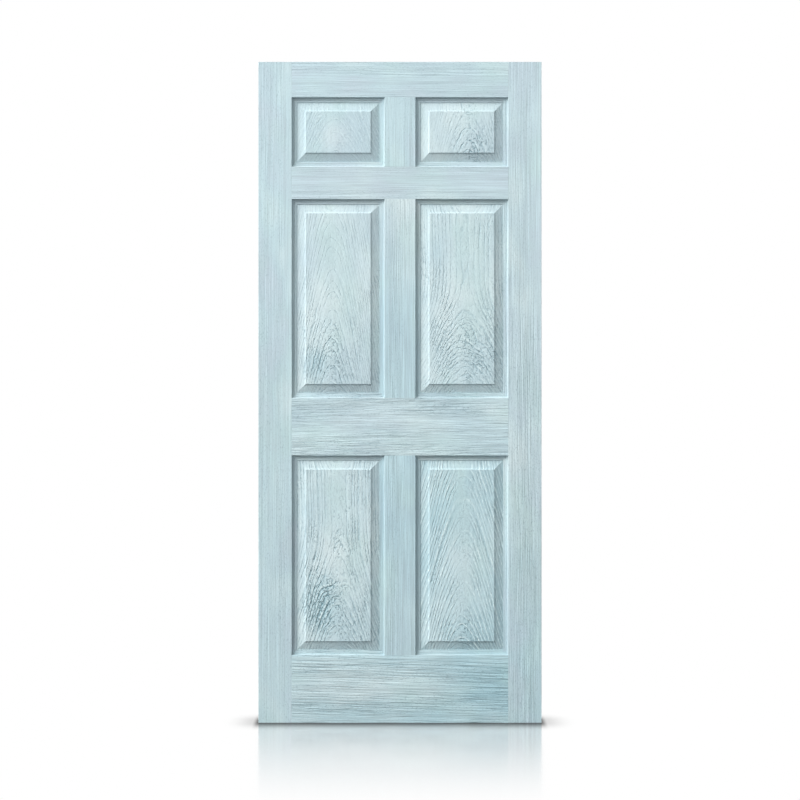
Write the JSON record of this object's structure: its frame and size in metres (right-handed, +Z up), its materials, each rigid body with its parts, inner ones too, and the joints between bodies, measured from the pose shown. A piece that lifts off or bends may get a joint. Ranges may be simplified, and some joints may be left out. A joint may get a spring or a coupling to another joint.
{
  "type": "panel door",
  "caption": "Panel door slab of solid wood with raised panels in a frame of stiles, rails and mullions, washed pale blue over open grain.",
  "frame": {"origin": "middle of the bottom edge, at half the thickness", "axes": "+Z up along the door's height, +X across its width to the right of the picture's view, +Y through its thickness to the back"},
  "size_m": [0.9144, 0.035, 2.1336],
  "materials": {
    "stile_wood": "pale blue wash over open upright grain, matt",
    "rail_wood": "pale blue wash over open level grain, matt",
    "mullion_wood": "pale blue wash over open upright grain, matt",
    "panel_wood": "pale blue wash over arched grain, matt",
    "tenon_wood": "bare hardwood, smooth"
  },
  "bodies": {
    "root": {"left_stile": "stile_wood", "right_stile": "stile_wood", "top_rail": "rail_wood", "frieze_rail": "rail_wood", "lock_rail": "rail_wood", "bottom_rail": "rail_wood", "top_mullion": "mullion_wood", "upper_mullion": "mullion_wood", "lower_mullion": "mullion_wood", "top_left_panel": "panel_wood", "top_right_panel": "panel_wood", "upper_left_panel": "panel_wood", "upper_right_panel": "panel_wood", "lower_left_panel": "panel_wood", "lower_right_panel": "panel_wood", "top_rail_loose_tenons": "tenon_wood", "frieze_rail_loose_tenons": "tenon_wood", "lock_rail_loose_tenons": "tenon_wood", "bottom_rail_loose_tenons": "tenon_wood", "top_mullion_loose_tenons": "tenon_wood", "upper_mullion_loose_tenons": "tenon_wood", "lower_mullion_loose_tenons": "tenon_wood"}
  },
  "joints": []
}
